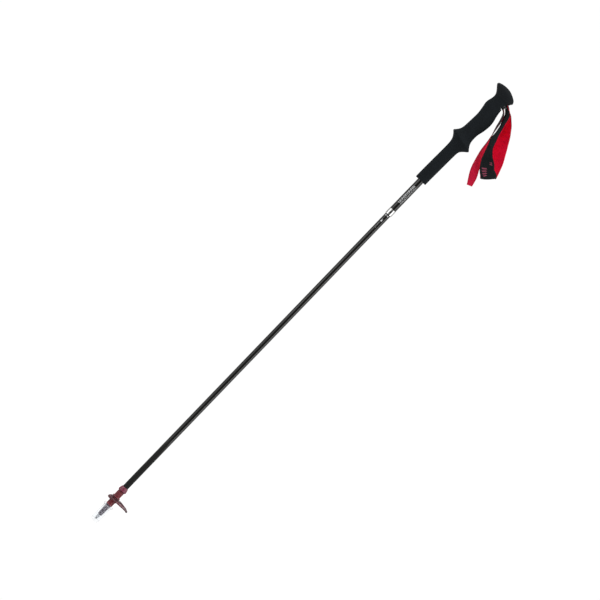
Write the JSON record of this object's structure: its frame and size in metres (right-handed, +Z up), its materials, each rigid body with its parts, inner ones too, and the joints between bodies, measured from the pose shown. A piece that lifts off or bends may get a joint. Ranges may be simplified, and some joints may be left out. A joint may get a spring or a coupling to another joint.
{
  "type": "ski pole",
  "caption": "Two-section telescoping ski pole with inner twist lock, shaped foam grip, padded wrist strap, off-centre basket, carbide tip and clear tip protector.",
  "frame": {"origin": "lowest point of the tip protector, on the pole's axis, at the centre of the protector's small flat end", "axes": "+Z up the pole from the tip to the grip; +X towards the wrist strap and the basket's long end; +Y completes the right-handed frame"},
  "size_m": [0.148, 0.0559, 1.346],
  "materials": {
    "foam": "matte closed-cell foam with fine speckle",
    "head_rubber": "matte soft-touch rubber",
    "core_plastic": "moulded black nylon",
    "carbon": "clear-coated carbon fibre tube",
    "collar_metal": "bright anodised",
    "steel": "machined",
    "carbide": "sintered carbide",
    "black_fabric": "woven nylon",
    "red_fabric": "woven nylon webbing",
    "lock_plastic": "natural moulded nylon",
    "grey_plastic": "semi-gloss moulded",
    "red_plastic": "translucent moulded",
    "basket_plastic": "semi-gloss moulded",
    "clear_plastic": "clear flexible plastic"
  },
  "bodies": {
    "grip": {"grip_foam": "foam", "grip_head": "head_rubber", "grip_core": "core_plastic", "upper_tube": "carbon", "tube_top_plug": "lock_plastic", "tube_collar": "collar_metal"},
    "wedge": {"strap_wedge": "core_plastic", "strap_pin": "steel"},
    "strap": {"strap_root_wrap": "black_fabric", "strap_band": "black_fabric", "strap_lining": "red_fabric", "strap_tail": "red_fabric"},
    "expander": {"lock_expander": "lock_plastic"},
    "cone": {"lock_cone": "lock_plastic"},
    "lower_section": {"lower_tube": "carbon", "lock_stud": "steel", "stud_end_stop": "steel", "stud_plug": "lock_plastic", "tip_ferrule": "grey_plastic", "ferrule_flange": "grey_plastic", "ferrule_cup": "red_plastic", "tip_holder": "steel", "carbide_tip": "carbide"},
    "basket": {"basket_hub": "red_plastic", "basket_snap_ring": "red_plastic", "basket_disc": "basket_plastic"},
    "protector": {"tip_protector": "clear_plastic"}
  },
  "joints": [
    {"name": "wedge_release", "type": "slide", "parent": "grip", "child": "wedge", "axis": [1, 0, 0], "range_m": [0, 0.004]},
    {"name": "strap_swing", "type": "hinge", "parent": "wedge", "child": "strap", "pos_m": [0.019, 0, 1.311], "axis": [0, -1, 0], "range_deg": [-7, 34]},
    {"name": "length_adjust", "type": "slide", "parent": "grip", "child": "expander", "axis": [0, 0, 1], "range_m": [0, 0.2]},
    {"name": "lock_twist", "type": "hinge", "parent": "expander", "child": "lower_section", "pos_m": [0, 0, 1.079], "axis": [0, 0, 1], "range_deg": [-540, 0]},
    {"name": "cone_travel", "type": "slide", "parent": "expander", "child": "cone", "axis": [0, 0, 1], "range_m": [0, 0.00125]},
    {"name": "basket_turn", "type": "hinge", "parent": "lower_section", "child": "basket", "pos_m": [0, 0, 0.067], "axis": [0, 0, 1], "continuous": true},
    {"name": "protector_pull", "type": "slide", "parent": "lower_section", "child": "protector", "axis": [0, 0, -1], "range_m": [0, 0.06]}
  ],
  "couplings": [
    {"joint": "cone_travel", "follows": "lock_twist", "m_per_rad": -0.00012732}
  ]
}
